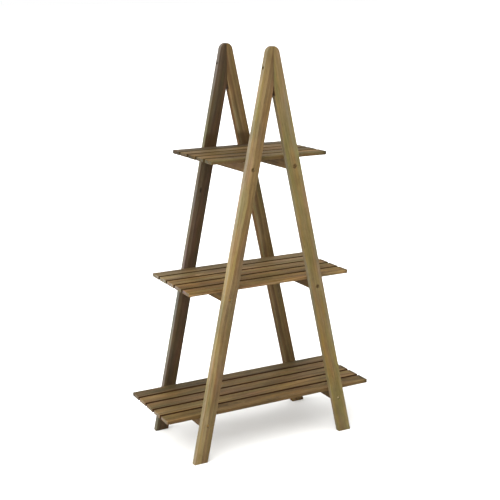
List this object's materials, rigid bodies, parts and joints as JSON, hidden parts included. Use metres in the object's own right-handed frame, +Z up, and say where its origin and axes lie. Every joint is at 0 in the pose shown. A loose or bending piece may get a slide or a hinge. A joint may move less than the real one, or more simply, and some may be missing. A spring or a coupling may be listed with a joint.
{
  "type": "plant ladder stand",
  "caption": "Free-standing oiled hardwood plant ladder: two mitred A-frames with rounded tops carrying slatted shelves that widen towards the floor.",
  "frame": {"origin": "on the floor, midway between the four feet, which is the bottom centre of the whole stand", "axes": "+X along the slats, to the right seen from the front; +Y from the front A-frame to the back one; +Z up"},
  "size_m": [0.6932, 0.306, 1.2],
  "materials": {
    "leg_wood_front": "oiled hardwood, olive tan",
    "leg_wood_back": "oiled hardwood, dark brown",
    "bearer_wood": "oiled hardwood, brown",
    "slat_wood_olive": "oiled hardwood, olive tan",
    "slat_wood_red": "oiled hardwood, reddish brown",
    "dowel_wood": "plain beech",
    "screw_steel": "bright zinc-plated steel"
  },
  "bodies": {
    "root": {"front_left_leg": "leg_wood_front", "front_right_leg": "leg_wood_front", "back_left_leg": "leg_wood_back", "back_right_leg": "leg_wood_back", "front_apex_dowel": "dowel_wood", "back_apex_dowel": "dowel_wood", "front_apex_screw": "screw_steel", "back_apex_screw": "screw_steel", "bottom_left_bearer": "bearer_wood", "bottom_right_bearer": "bearer_wood", "middle_left_bearer": "bearer_wood", "middle_right_bearer": "bearer_wood", "top_left_bearer": "bearer_wood", "top_right_bearer": "bearer_wood", "bottom_slat_1": "slat_wood_olive", "bottom_slat_2": "slat_wood_red", "bottom_slat_3": "slat_wood_olive", "bottom_slat_4": "slat_wood_red", "bottom_slat_5": "slat_wood_olive", "middle_slat_1": "slat_wood_olive", "middle_slat_2": "slat_wood_red", "middle_slat_3": "slat_wood_olive", "middle_slat_4": "slat_wood_red", "middle_slat_5": "slat_wood_olive", "top_slat_1": "slat_wood_olive", "top_slat_2": "slat_wood_red", "top_slat_3": "slat_wood_olive", "top_slat_4": "slat_wood_red", "top_slat_5": "slat_wood_olive", "bottom_leg_screws": "screw_steel", "middle_leg_screws": "screw_steel", "top_leg_screws": "screw_steel", "bottom_slat_screws": "screw_steel", "middle_slat_screws": "screw_steel", "top_slat_screws": "screw_steel"}
  },
  "joints": []
}
